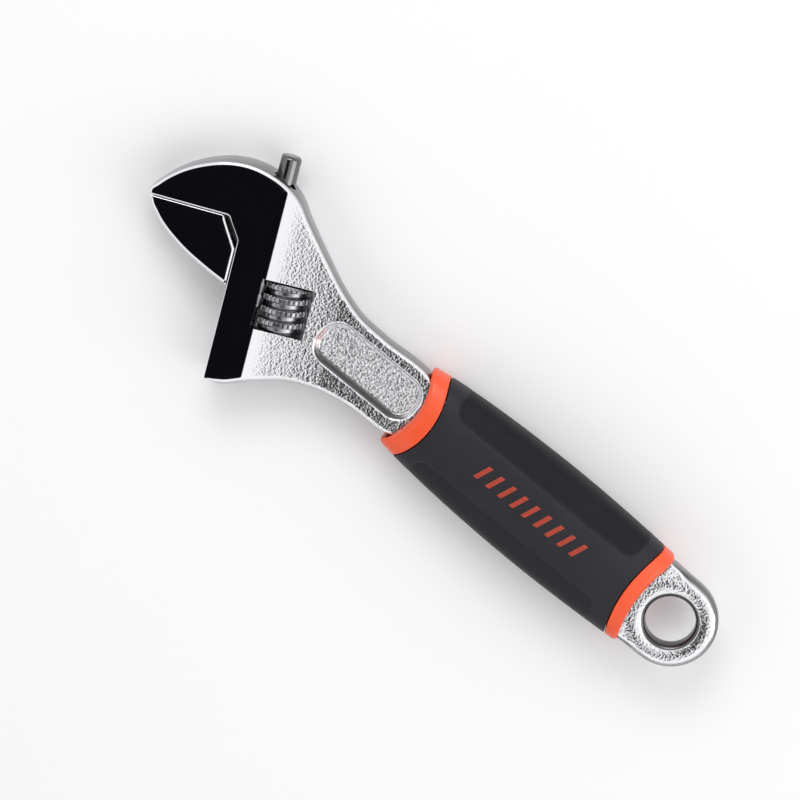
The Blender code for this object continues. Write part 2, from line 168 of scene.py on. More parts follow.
class WrenchColours(bpy.types.PropertyGroup):
    """Colours of the wrench's finishes and of the floor."""

    chrome: FloatVectorProperty(
        name="Chrome", description="Tint of the bright plating",
        subtype="COLOR", default=(0.93, 0.93, 0.955), min=0.0, max=1.0,
    )
    steel: FloatVectorProperty(
        name="Steel", description="Tint of the thumb wheel and its pin",
        subtype="COLOR", default=(0.42, 0.42, 0.44), min=0.0, max=1.0,
    )
    orange: FloatVectorProperty(
        name="Orange moulding", description="Colour of the grip's collars",
        subtype="COLOR", default=(0.93, 0.1, 0.026), min=0.0, max=1.0,
    )
    black: FloatVectorProperty(
        name="Black moulding", description="Colour of the grip's soft cover",
        subtype="COLOR", default=(0.019, 0.0172, 0.0225), min=0.0, max=1.0,
    )
    ink: FloatVectorProperty(
        name="Print ink", description="Colour of the printed dashes",
        subtype="COLOR", default=(0.42, 0.04, 0.016), min=0.0, max=1.0,
    )
    floor: FloatVectorProperty(
        name="Floor", description="Colour of the plain floor",
        subtype="COLOR", default=(0.86, 0.86, 0.87), min=0.0, max=1.0,
    )


# ---- mesh tools


def smoothstep(low, high, value):
    """0 before low, 1 past high, and 3t^2 - 2t^3 between them; low may be the larger."""
    t = np.clip((value - low) / (high - low), 0.0, 1.0)
    return t * t * (3.0 - 2.0 * t)


def full_turn(count):
    """Evenly spaced angles round one turn."""
    return np.linspace(0.0, 2 * math.pi, count, endpoint=False)


def round_points(radius, angle, z):
    """Points from arrays of radius, angle and height about an axis, row by row."""
    return np.stack([radius * np.cos(angle), radius * np.sin(angle), z], -1).reshape(-1, 3)


def from_hole(x, y, z):
    """World points from distances along, across and above the hanging hole's middle."""
    return np.stack([x + HOLE[0], y + HOLE[1], z + MID_Z], -1)


def slide_xy(p, q):
    """World x and y of points given in slide coordinates."""
    x = SLIDE_ORIGIN[0] + p * SLIDE_U[0] + q * SLIDE_V[0]
    y = SLIDE_ORIGIN[1] + p * SLIDE_U[1] + q * SLIDE_V[1]
    return x, y


def slide_p(x, y):
    """How far a world point lies into the head from the slide's origin."""
    return (x - SLIDE_ORIGIN[0]) * SLIDE_U[0] + (y - SLIDE_ORIGIN[1]) * SLIDE_U[1]


def slide_q(x, y):
    """How far a world point lies along the slide from its origin, the way the jaw opens."""
    return (x - SLIDE_ORIGIN[0]) * SLIDE_V[0] + (y - SLIDE_ORIGIN[1]) * SLIDE_V[1]


def slide_matrix(p, q):
    """A frame at (p, q) whose Z runs along the slide and whose X runs into the head."""
    across, along = Vector(SLIDE_U), Vector(SLIDE_V)
    turn = Matrix((across, along.cross(across), along)).transposed().to_4x4()
    x, y = slide_xy(p, q)
    return Matrix.Translation((x, y, MID_Z)) @ turn


def mesh_object(name, points, faces, smooth_angle=35.0):
    """An object at the origin from arrays of points and faces. Its doubles are merged, its faces
    turned outwards, and it is shaded smooth up to an angle."""
    mesh = bpy.data.meshes.new(name)
    mesh.from_pydata(points.tolist(), [], faces.tolist())
    bm = bmesh.new()
    bm.from_mesh(mesh)
    bmesh.ops.remove_doubles(bm, verts=bm.verts, dist=1e-6)
    bmesh.ops.dissolve_degenerate(bm, edges=bm.edges, dist=1e-7)
    bmesh.ops.recalc_face_normals(bm, faces=bm.faces)
    bm.to_mesh(mesh)
    bm.free()
    mesh.shade_smooth()
    mesh.set_sharp_from_angle(angle=math.radians(smooth_angle))
    obj = bpy.data.objects.new(name, mesh)
    bpy.context.scene.collection.objects.link(obj)
    return obj


def grid_faces(rows, columns, wrap_rows=False, wrap_columns=False):
    """Quads of a grid of points stored row by row."""
    r = np.arange(rows if wrap_rows else rows - 1)
    c = np.arange(columns if wrap_columns else columns - 1)
    r, c = np.meshgrid(r, c, indexing="ij")
    r2, c2 = (r + 1) % rows, (c + 1) % columns
    quads = np.stack([r * columns + c, r * columns + c2, r2 * columns + c2, r2 * columns + c], -1)
    return quads.reshape(-1, 4)


def triangles(quads):
    """Each quad as two triangles."""
    return np.concatenate([quads[:, [0, 1, 2]], quads[:, [0, 2, 3]]])


def bezier_outline(points, kinds, steps=24):
    """A closed outline through control points: each span is a cubic whose handles are a third of the
    span long, level with the neighbours at a smooth point and along the span at a corner."""
    pts = np.array(points)
    corner = np.array([kind == "corner" for kind in kinds])[:, None]
    ahead = np.roll(pts, -1, 0) - pts
    behind = pts - np.roll(pts, 1, 0)
    far = np.linalg.norm(ahead, axis=1, keepdims=True)
    near = np.linalg.norm(behind, axis=1, keepdims=True)
    level = behind / near * far + ahead / far * near
    level /= np.linalg.norm(level, axis=1, keepdims=True)
    leave = np.where(corner, pts + ahead / 3, pts + level * far / 3)
    reach = np.where(corner, pts - behind / 3, pts - level * near / 3)
    t = np.linspace(0.0, 1.0, steps, endpoint=False)[None, :, None]
    a, b = pts[:, None], leave[:, None]
    c, d = np.roll(reach, -1, 0)[:, None], np.roll(pts, -1, 0)[:, None]
    curve = (1 - t) ** 3 * a + 3 * (1 - t) ** 2 * t * b + 3 * (1 - t) * t**2 * c + t**3 * d
    return curve.reshape(-1, 2)


def even_outline(outline, spacing, softening):
    """The same closed outline in equal steps, its corners rounded by a Gaussian average along it."""
    closed = np.vstack([outline, outline[:1]])
    run = np.concatenate([[0.0], np.cumsum(np.linalg.norm(np.diff(closed, axis=0), axis=1))])
    count = int(round(run[-1] / spacing))
    at = np.arange(count) * run[-1] / count
    even = np.stack([np.interp(at, run, closed[:, k]) for k in range(2)], 1)
    frequency = np.fft.fftfreq(count, d=run[-1] / count)
    kernel = np.exp(-2.0 * (math.pi * frequency * softening) ** 2)[:, None]
    return np.real(np.fft.ifft(np.fft.fft(even, axis=0) * kernel, axis=0))


def outline_normals(outline):
    """Unit vectors pointing into a closed outline, whichever way it runs."""
    ahead = np.roll(outline, -1, 0) - np.roll(outline, 1, 0)
    ahead /= np.linalg.norm(ahead, axis=1, keepdims=True)
    nxt = np.roll(outline, -1, 0)
    area = 0.5 * np.sum(outline[:, 0] * nxt[:, 1] - nxt[:, 0] * outline[:, 1])
    turn = math.copysign(1.0, area)
    return np.stack([-ahead[:, 1], ahead[:, 0]], 1) * turn


def inside(points, outline):
    """Which points lie inside a closed outline, by the even-odd rule, in blocks of rows."""
    x0, y0 = outline[:, 0], outline[:, 1]
    x1, y1 = np.roll(x0, -1), np.roll(y0, -1)
    rise = np.where(np.abs(y1 - y0) < 1e-12, 1e-12, y1 - y0)
    found = []
    for block in np.array_split(points, max(1, len(points) // 4000)):
        px, py = block[:, :1], block[:, 1:]
        crosses = (y0 > py) != (y1 > py)
        hit = px < (x1 - x0) * (py - y0) / rise + x0
        found.append((crosses & hit).sum(1) % 2 == 1)
    return np.concatenate(found)


def distance_to(points, outline):
    """Distance from each point to the nearest point of a densely sampled outline, in blocks."""
    found = []
    for block in np.array_split(points, max(1, len(points) // 2000)):
        gap = block[:, None, :] - outline[None, :, :]
        found.append(np.sqrt((gap**2).sum(2).min(1)))
    return np.concatenate(found)


def hex_points(low, high, spacing):
    """A hexagonal lattice of points that fills a box."""
    rows = np.arange(low[1], high[1], spacing * math.sqrt(3) / 2)
    columns = np.arange(low[0], high[0], spacing)
    x, y = np.meshgrid(columns, rows)
    x = x + (np.arange(len(rows)) % 2)[:, None] * spacing / 2
    return np.stack([x.ravel(), y.ravel()], 1)


def forged_plate(name, loops, half_depth, surface, inner_points):
    """A plate lying about the mid plane. Loops are (outline, normal into the metal, edge radius). Each
    rim is a quarter-round profile carried along its loop, inset by r(1 - cos a) and raised by r sin a.
    The two faces are triangulated sheets whose height is surface(x, y)."""
    angles = np.linspace(0.0, math.pi / 2, 6)
    points, faces, start, rims = [], [], 0, []
    for loop, normal, rounding in loops:
        radius = rounding[:, None]
        rim = loop + normal * radius
        rims.append(rim)
        height = half_depth(rim[:, 0], rim[:, 1])
        rows = []
        for side in (-1.0, 1.0):
            order = angles[::-1] if side < 0 else angles
            for angle in order:
                flat = loop + normal * radius * (1 - math.cos(angle))
                z = MID_Z + side * (height - rounding * (1 - math.sin(angle)))
                rows.append(np.column_stack([flat, z]))
        points.append(np.concatenate(rows))
        faces.append(triangles(grid_faces(len(rows), len(loop), wrap_columns=True)) + start)
        start += len(rows) * len(loop)
    keep = inside(inner_points, rims[0])
    for rim in rims[1:]:
        keep &= ~inside(inner_points, rim)
    keep &= distance_to(inner_points, np.concatenate(rims)) > 0.28 * MM
    loose = inner_points[keep]
    flat = np.concatenate(rims + [loose])
    edges, first = [], 0
    for rim in rims:
        ring = np.arange(len(rim)) + first
        edges.append(np.stack([ring, np.roll(ring, -1)], 1))
        first += len(rim)
    net = delaunay_2d_cdt(
        [Vector(p) for p in (flat * 1000.0).tolist()], np.concatenate(edges).tolist(), [], 0, 1e-6
    )
    at = np.array(net[0]) / 1000.0
    tri = np.array(net[2])
    centre = at[tri].mean(1)
    kept = inside(centre, rims[0])
    for rim in rims[1:]:
        kept &= ~inside(centre, rim)
    tri = tri[kept]
    for side in (1.0, -1.0):
        z = MID_Z + side * surface(at[:, 0], at[:, 1])
        points.append(np.column_stack([at, z]))
        faces.append(tri + start)
        start += len(at)
    return mesh_object(name, np.concatenate(points), np.concatenate(faces))


def turned(name, profile, matrix, sides=96):
    """A closed body turned about the matrix's Z from (radius, height) pairs that start and end on it."""
    profile = np.array(profile)
    points = round_points(profile[:, :1], full_turn(sides), np.repeat(profile[:, 1:], sides, 1))
    faces = triangles(grid_faces(len(profile), sides, wrap_columns=True))
    return mesh_object(name, place(points, matrix), faces)


def place(points, matrix):
    """Points moved from a frame into the world."""
    m = np.array(matrix)
    return points @ m[:3, :3].T + m[:3, 3]


def box(name, low, high, matrix):
    """A plain box between two corners of a frame, used to cut or to join."""
    corners = np.array(np.meshgrid(*zip(low, high), indexing="ij")).reshape(3, -1).T
    faces = np.array([[0, 1, 3, 2], [4, 6, 7, 5], [0, 4, 5, 1], [2, 3, 7, 6], [0, 2, 6, 4], [1, 5, 7, 3]])
    return mesh_object(name, place(corners, matrix), faces)


def carve(obj, tools):
    """Cuts or joins other bodies, given as (operation, body), keeps the result as plain mesh, and
    removes the bodies."""
    for operation, tool in tools:
        cut = obj.modifiers.new(operation.title(), "BOOLEAN")
        cut.operation = operation
        cut.solver = "EXACT"
        cut.object = tool
    bpy.context.view_layer.update()
    solid = bpy.data.meshes.new_from_object(obj.evaluated_get(bpy.context.evaluated_depsgraph_get()))
    obj.modifiers.clear()
    old = obj.data
    obj.data = solid
    bpy.data.meshes.remove(old)
    solid.name = obj.name
    solid.shade_smooth()
    solid.set_sharp_from_angle(angle=math.radians(35.0))
    for _, tool in tools:
        bpy.data.objects.remove(tool)


def store(obj, name, values):
    """Keeps one number for each vertex, which a material reads back."""
    layer = obj.data.attributes.new(name, "FLOAT", "POINT")
    layer.data.foreach_set("value", np.asarray(values, np.float32))


def vertices(obj):
    """The mesh's points as an array."""
    co = np.empty(len(obj.data.vertices) * 3)
    obj.data.vertices.foreach_get("co", co)
    return co.reshape(-1, 3)


def give(obj, material):
    """Makes a material the object's only one."""
    obj.data.materials.clear()
    obj.data.materials.append(material)


# ---- materials


class Nodes:
    """A short way to write a node tree: add a node, set its sockets, join it to others."""

    def __init__(self, name):
        self.material = bpy.data.materials.new(name)
        self.material.use_nodes = True
        self.tree = self.material.node_tree
        self.shader = self.tree.nodes["Principled BSDF"]

    def add(self, kind, settings=None, **sockets):
        node = self.tree.nodes.new(kind)
        for key, value in (settings or {}).items():
            setattr(node, key, value)
        for key, value in sockets.items():
            self.feed(node, key.replace("_", " "), value)
        return node

    def feed(self, node, socket, value):
        entry = node.inputs[socket]
        if isinstance(value, bpy.types.NodeSocket):
            self.tree.links.new(value, entry)
        else:
            entry.default_value = value

    def math(self, operation, first, second=0.0, third=0.0, clamp=False):
        node = self.add("ShaderNodeMath", {"operation": operation, "use_clamp": clamp})
        self.feed(node, 0, first)
        self.feed(node, 1, second)
        self.feed(node, 2, third)
        return node.outputs[0]

    def noise(self, vector, scale, detail=2.0, roughness=0.5):
        node = self.add("ShaderNodeTexNoise", None, Scale=scale, Detail=detail, Roughness=roughness)
        self.feed(node, "Vector", vector)
        return node.outputs["Fac"]

    def ramp(self, factor, *stops):
        node = self.add("ShaderNodeValToRGB")
        band = node.color_ramp
        while len(band.elements) < len(stops):
            band.elements.new(0.5)
        for element, (position, colour) in zip(band.elements, stops):
            element.position = position
            element.color = (*colour, 1.0)
        self.feed(node, "Fac", factor)
        return node.outputs["Color"]

    def mix(self, blend, factor, first, second):
        node = self.add("ShaderNodeMix", {"data_type": "RGBA", "blend_type": blend}, Factor=factor)
        self.feed(node, 6, first)
        self.feed(node, 7, second)
        return node.outputs[2]

    def stretch(self, vector, scale, turn):
        node = self.add("ShaderNodeMapping")
        self.feed(node, "Vector", vector)
        node.inputs["Scale"].default_value = scale
        node.inputs["Rotation"].default_value = turn
        return node.outputs["Vector"]

    def bump(self, height, distance, strength=1.0):
        node = self.add("ShaderNodeBump", None, Height=height, Strength=strength, Distance=distance)
        return node.outputs["Normal"]

    def object_place(self):
        return self.add("ShaderNodeTexCoord").outputs["Object"]

    def attribute(self, name):
        return self.add("ShaderNodeAttribute", {"attribute_name": name}).outputs["Fac"]


def forged_chrome(name, colour, scratch_turn):
    """Bright plating. Where the stored grain is 0 the metal was ground and polished, with faint
    scratches along one way; towards 1 it keeps the forging's pitted skin under the plating. Where the
    stored rim is 1 the plating is rougher and its colour is painted darker, a painted shade on a forging's
    sides; past 1, in the hanging hole and on the panel's lower wall, the painted shade is deeper."""
    n = Nodes(name)
    at = n.object_place()
    grain, rim = n.attribute("grain"), n.attribute("rim")
    cells = n.add("ShaderNodeTexVoronoi", {"feature": "SMOOTH_F1"}, Scale=1250.0, Smoothness=0.4)
    n.feed(cells, "Vector", at)
    pits = n.noise(at, 2300.0, 1.0, 0.5)
    skin = n.math("MULTIPLY_ADD", cells.outputs["Distance"], 0.8, n.math("MULTIPLY", pits, 0.7))
    scratches = n.noise(n.stretch(at, (60.0, 4200.0, 900.0), (0.0, 0.0, scratch_turn)), 1.0, 2.0, 0.6)
    worn = n.noise(at, 45.0, 3.0, 0.5)
    rough = n.math("MULTIPLY_ADD", grain, 0.12, 0.03)
    rough = n.math("MULTIPLY_ADD", rim, 0.12, rough)
    rough = n.math("MULTIPLY_ADD", scratches, 0.025, rough)
    rough = n.math("MULTIPLY_ADD", worn, 0.02, rough, clamp=True)
    # Painted shade: rim darkens the plating's colour down to a tenth of the chrome; worn adds random wear.
    wear_and_painted_shade = n.math("MULTIPLY_ADD", worn, 0.2, n.math("MULTIPLY", rim, 0.5))
    tone = n.ramp(wear_and_painted_shade, (0.05, colour), (0.2, [c * 0.93 for c in colour]),
                  (0.6, [c * 0.19 for c in colour]), (0.85, [c * 0.1 for c in colour]))
    n.feed(n.shader, "Base Color", tone)
    n.feed(n.shader, "Metallic", 1.0)
    n.feed(n.shader, "Roughness", rough)
    n.feed(n.shader, "Normal", n.bump(n.math("MULTIPLY", skin, grain), 0.0001))
    return n.material


def turned_steel(name, colour):
    """Machined steel with a fine broken grain and a darker film in patches."""
    n = Nodes(name)
    at = n.object_place()
    lines = n.noise(at, 1980.0, 4.0, 0.65)
    film = n.noise(at, 260.0, 3.0, 0.6)
    n.feed(n.shader, "Base Color", n.ramp(film, (0.35, [c * 0.55 for c in colour]), (0.65, colour)))
    n.feed(n.shader, "Metallic", 1.0)
    n.feed(n.shader, "Roughness", n.math("MULTIPLY_ADD", film, 0.22, 0.18))
    n.feed(n.shader, "Normal", n.bump(lines, 0.00005, 0.6))
    return n.material


def moulded(name, colour, dark, roughness, grain_scale, grain_depth, speck=0.0, shine=0.5):
    """Moulded plastic or rubber: a fine grain, slow changes of tone and scuffed, lighter high spots.
    Where the stored panel is 1 the moulding shines less and its colour is painted darker, a painted shade."""
    n = Nodes(name)
    at = n.object_place()
    grain = n.noise(at, grain_scale, 2.0, 0.6)
    patches = n.noise(at, 70.0, 4.0, 0.55)
    scuffs = n.noise(n.stretch(at, (60.0, 900.0, 900.0), (0.0, 0.0, 0.4)), 1.0, 3.0, 0.7)
    tone = n.ramp(patches, (0.3, [c * dark for c in colour]), (0.75, colour))
    if speck:
        light = n.ramp(scuffs, (0.62, (0.0, 0.0, 0.0)), (0.85, (speck, speck, speck)))
        tone = n.mix("ADD", 1.0, tone, light)
    panel = n.attribute("panel")
    # Painted shade: the finger panels' colour is darkened by up to 0.55 of the stored panel.
    tone = n.mix("MULTIPLY", n.math("MULTIPLY", panel, 0.55), tone, (0.0, 0.0, 0.0, 1.0))
    rough = n.math("MULTIPLY_ADD", patches, 0.16, roughness - 0.08)
    n.feed(n.shader, "Specular IOR Level", n.math("MULTIPLY_ADD", panel, -0.5 * shine, shine))
    n.feed(n.shader, "Base Color", tone)
    n.feed(n.shader, "Roughness", n.math("MULTIPLY_ADD", scuffs, 0.05, rough, clamp=True))
    n.feed(n.shader, "Normal", n.bump(grain, grain_depth, 0.7))
    return n.material


def ink(name, colour):
    """Pad-printed ink, slightly patchy, with a soft shine."""
    n = Nodes(name)
    at = n.object_place()
    patches = n.noise(at, 700.0, 3.0, 0.6)
    n.feed(n.shader, "Base Color", n.ramp(patches, (0.3, [c * 0.8 for c in colour]), (0.7, colour)))
    n.feed(n.shader, "Roughness", n.math("MULTIPLY_ADD", patches, 0.2, 0.4))
    return n.material


# ---- the forging


def head_outline():
    """The forging's outline: jaw face, tip, crown, upper neck, tang, ring shoulders, ring, lower neck,
    heel and front edge. Ring points lie on a circle about the hanging hole."""
    slide = lambda kind, *pairs: [(*slide_xy(p * MM, q * MM), kind) for p, q in pairs]
    handle = lambda kind, *pairs: [(HOLE[0] + x * MM, HOLE[1] + y * MM, kind) for x, y in pairs]
    turns = np.radians(np.arange(75, -76, -15))
    arc = [(RING_RADIUS / MM * math.cos(a), RING_RADIUS / MM * math.sin(a)) for a in turns]
    shoulder, ring = SHOULDER_X / MM, RING_RADIUS / MM
    spots = (
        slide("corner", (1.0, 6.0), (-3.0, 0.0), (-25.9, 0.0))
        + slide("smooth", (-26.4, -0.9), (-24.3, -4.1), (-20.5, -7.9), (-13.0, -12.5), (-6.4, -14.7),
                (-0.6, -15.2), (5.0, -14.3), (10.5, -12.2), (14.5, -9.2), (18.8, -3.6))
        + handle("smooth", (-140.1, 18.0), (-130.0, 13.5), (-121.9, 11.15), (-113.0, 10.65), (-96.5, 10.65))
        + handle("corner", (-91.0, 9.0), (shoulder, 9.0), (shoulder, ring), (0.0, ring))
        + handle("smooth", *arc)
        + handle("corner", (0.0, -ring), (shoulder, -ring), (shoulder, -9.0), (-91.0, -9.0))
        + handle("smooth", (-96.5, -10.2), (-109.8, -10.9), (-119.8, -13.2), (-126.5, -16.2),
                 (-134.8, -22.8))
        + slide("smooth", (4.6, 47.4), (1.8, 47.1))
        + slide("corner", (1.0, 46.8))
    )
    outline = bezier_outline([spot[:2] for spot in spots], [spot[2] for spot in spots])
    return even_outline(outline, 0.5 * MM, 0.35 * MM)


def body_half_depth(x, y):
    """Half the forging's depth: full on the cheek, a slope that eases by 1.6t - 0.6t^2 into the neck,
    and a ring that is domed by the square of the distance from its crest line."""
    t = np.clip((slide_p(x, y) - CHEEK_P) / (SLOPE_END_P - CHEEK_P), 0.0, 1.0)
    neck = HEAD_HALF + (NECK_HALF - HEAD_HALF) * (1.6 * t - 0.6 * t**2)
    across = np.clip((np.hypot(x - HOLE[0], y - HOLE[1]) - RING_CREST) / (2.2 * MM), -1.0, 1.0)
    ring = smoothstep(-18.0 * MM, -12.5 * MM, x - HOLE[0])
    dome = 0.3 * MM * across**2 * smoothstep(-11.0 * MM, -6.0 * MM, x - HOLE[0])
    return neck + (RING_HALF - NECK_HALF) * ring - dome


def body_rounding(outline, full):
    """The edge radius along the forging: small on the ground faces that the jaw meets, wider along the
    heel and the lower side, and widest round the hanging ring."""
    p = slide_p(outline[:, 0], outline[:, 1])
    q = slide_q(outline[:, 0], outline[:, 1])
    front = (1.0 - smoothstep(1.3 * MM, 2.4 * MM, p)) * smoothstep(-0.8 * MM, 1.5 * MM, q)
    face = (1.0 - smoothstep(1.3 * MM, 2.4 * MM, p)) * smoothstep(-0.8 * MM, -0.1 * MM, q) - front
    x, y = outline[:, 0] - HOLE[0], outline[:, 1] - HOLE[1]
    lower = smoothstep(1.5 * MM, 6.0 * MM, p) * smoothstep(1.0 * MM, -4.0 * MM, y)
    ring = smoothstep(-9.0 * MM, -2.0 * MM, x)
    sharper = 0.72 * front + 0.35 * np.maximum(face, 0.0)
    return full * (1.0 - sharper + 0.7 * lower * (1.0 - ring) + 1.5 * ring)


def panel_distance(x, y):
    """Signed distance into the neck's panel, a bar with rounded ends along the handle."""
    mid_x, mid_y = np.mean(PANEL_X), np.mean(PANEL_Y)
    dx = np.abs(x - HOLE[0] - mid_x) - (PANEL_X[1] - PANEL_X[0]) / 2 + PANEL_CORNER
    dy = np.abs(y - HOLE[1] - mid_y) - (PANEL_Y[1] - PANEL_Y[0]) / 2 + PANEL_CORNER
    outer = np.hypot(np.maximum(dx, 0.0), np.maximum(dy, 0.0)) + np.minimum(np.maximum(dx, dy), 0.0)
    return PANEL_CORNER - outer


def body_surface(depth):
    """The height of the forging's faces: half its depth, less the sunk panel with sloping walls."""

    def height(x, y):
        into = panel_distance(x, y)
        return body_half_depth(x, y) - depth * smoothstep(0.0, PANEL_WALL, into)

    return height


def body_points():
    """Points for the forging's faces: fine on the slope, neck and ring, sparse on the flat cheek and
    in the grip, with close rows where the cheek ends and down the panel's walls."""
    fine = hex_points(PLAN_LOW, PLAN_HIGH, 0.62 * MM)
    p, x = slide_p(fine[:, 0], fine[:, 1]), fine[:, 0] - HOLE[0]
    into = panel_distance(fine[:, 0], fine[:, 1])
    wanted = ((p > CHEEK_P + 0.5 * MM) & (x < -88.0 * MM)) | (x > -13.0 * MM)
    wall = (into > -0.5 * MM) & (into < PANEL_WALL + 0.5 * MM)
    fine = fine[wanted & ~wall]
    coarse = hex_points(PLAN_LOW, PLAN_HIGH, 3.0 * MM)
    p, x = slide_p(coarse[:, 0], coarse[:, 1]), coarse[:, 0] - HOLE[0]
    coarse = coarse[(p < CHEEK_P - 1.5 * MM) | ((x > -88.0 * MM) & (x < -14.0 * MM))]
    q = np.arange(-20.0, 50.0, 0.7) * MM
    rows = [np.column_stack(slide_xy(CHEEK_P + step, q)) for step in (-0.2 * MM, 0.0, 0.2 * MM)]
    rows += [panel_loop(into) for into in np.array([-0.3, 0.0, 0.3, 0.65, 1.0, 1.35, 1.65, 1.9, 2.2]) * MM]
    return np.concatenate([fine, coarse, *rows])


def panel_loop(into):
    """Evenly spaced points round the neck's panel, a distance inside its edge."""
    corner = PANEL_CORNER - into
    turns = np.radians(np.arange(0.0, 90.0, 5.0))
    low_x, high_x = PANEL_X[0] + PANEL_CORNER, PANEL_X[1] - PANEL_CORNER
    low_y, high_y = PANEL_Y[0] + PANEL_CORNER, PANEL_Y[1] - PANEL_CORNER
    spots = []
    for turn, x, y in ((0, high_x, high_y), (1, low_x, high_y), (2, low_x, low_y), (3, high_x, low_y)):
        angle = turns + turn * math.pi / 2
        spots.append(np.column_stack([x + corner * np.cos(angle), y + corner * np.sin(angle)]))
    return even_outline(np.concatenate(spots), 0.55 * MM, 0.05 * MM) + HOLE[:2]


def hole_outline():
    """The hanging hole's circle."""
    angle = full_turn(96)
    return HOLE[:2] + HOLE_RADIUS * np.column_stack([np.cos(angle), np.sin(angle)])


def body_finish(points):
    """Two numbers for each point of the forging. Grain is 0 on the ground cheek, rises down the slope
    to the neck's pitted skin, is strongest on the panel's floor and low on the rims. Rim is 1 on the
    forging's upright sides and more in the hanging hole and on the panel's lower wall; the material
    makes the plating rougher there and paints it darker, a painted shade."""
    x, y, z = points.T
    p = slide_p(x, y)
    away = np.hypot(x - HOLE[0], y - HOLE[1])
    grain = 0.1 * smoothstep(CHEEK_P - 0.1 * MM, CHEEK_P + 0.5 * MM, p)
    grain += 0.8 * smoothstep(CHEEK_P + 0.3 * MM, CHEEK_P + 10.0 * MM, p)
    ring = smoothstep(-12.0 * MM, -9.0 * MM, x - HOLE[0])
    below = body_half_depth(x, y) - np.abs(z - MID_Z)
    rim = smoothstep(0.25 * MM, 0.8 * MM, below) * (1.0 - ring)
    rim += smoothstep(0.02 * MM, 0.3 * MM, below) * ring
    into = panel_distance(x, y)
    sunk = smoothstep(0.0, 0.3 * MM, into)
    floor = smoothstep(PANEL_WALL - 0.3 * MM, PANEL_WALL + 0.2 * MM, into)
    # Painted shade: the hanging hole's wall gets a darker plating colour.
    in_hole = smoothstep(HOLE_RADIUS + 1.3 * MM, HOLE_RADIUS + 0.9 * MM, away)
    rim = np.where(into > 0.0, 0.0, np.maximum(rim, in_hole))
    grain = grain * (1.0 - rim) * (1.0 - 0.85 * sunk * (1.0 - floor)) * (1.0 + 0.7 * floor) + 0.04 * rim
    # Painted shade: the panel's lower wall alone is painted darker.
    lower_wall_painted_shade = sunk * (1.0 - floor) * smoothstep(-1.0 * MM, -4.5 * MM, y - HOLE[1])
    return grain, np.maximum(rim + 0.5 * in_hole, 1.15 * lower_wall_painted_shade)


def build_body(sizes, colours):
    """The forging, cut for the rail's bore, the jaw's web, the thumb wheel's window and its pin."""
    outline, hole = head_outline(), hole_outline()
    loops = [
        (outline, outline_normals(outline), body_rounding(outline, sizes.edge_round)),
        (hole, -outline_normals(hole), np.full(len(hole), 1.4 * MM)),
    ]
    surface = body_surface(sizes.panel_depth)
    body = forged_plate("forged_body", loops, body_half_depth, surface, body_points())
    reach, wide = WHEEL_HALF + WINDOW_SLACK, WHEEL_RADIUS + WINDOW_SLACK
    bore, slot = RAIL_RADIUS + GAP, WEB_HALF + GAP
    far = 80.0 * MM
    bore_profile = [(0.0, -far / 2), (bore, -far / 2), (bore, far), (0.0, far)]
    pin_start = 4.4 * MM
    pin_profile = [(0.0, pin_start), (PIN_RADIUS, pin_start), (PIN_RADIUS, far), (0.0, far)]
    rail_frame, wheel_frame = slide_matrix(RAIL_P, 0.0), slide_matrix(WORM_P, WORM_Q)
    tools = [
        turned("bore_tool", bore_profile, rail_frame),
        box("slot_tool", (-6.0 * MM, -slot, 1.5 * MM), (RAIL_P, slot, far), slide_matrix(0.0, 0.0)),
        box("window_tool", (-wide, -20.0 * MM, -reach), (wide, 20.0 * MM, reach), wheel_frame),
        turned("pin_tool", pin_profile, slide_matrix(WORM_P, 0.0), 48),
    ]
    carve(body, [("DIFFERENCE", tool) for tool in tools])
    grain, rim = body_finish(vertices(body))
    store(body, "grain", grain)
    store(body, "rim", rim)
    give(body, forged_chrome("plated_forging", colours.chrome, 1.14))
    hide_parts("wrench_body")
    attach(body, "frame")


# ---- the sliding jaw


def worm_radius(angle, z, crest, root):
    """A right-hand thread's radius: a rounded trapezoid of the distance along the helix, in pitches.
    It is highest where z / pitch equals the turned angle's share of a full turn."""
    phase = z / PITCH - angle / (2 * math.pi)
    away = np.abs(phase - np.round(phase))
    return root + (crest - root) * (1.0 - smoothstep(THREAD_CREST, THREAD_FOOT, away))


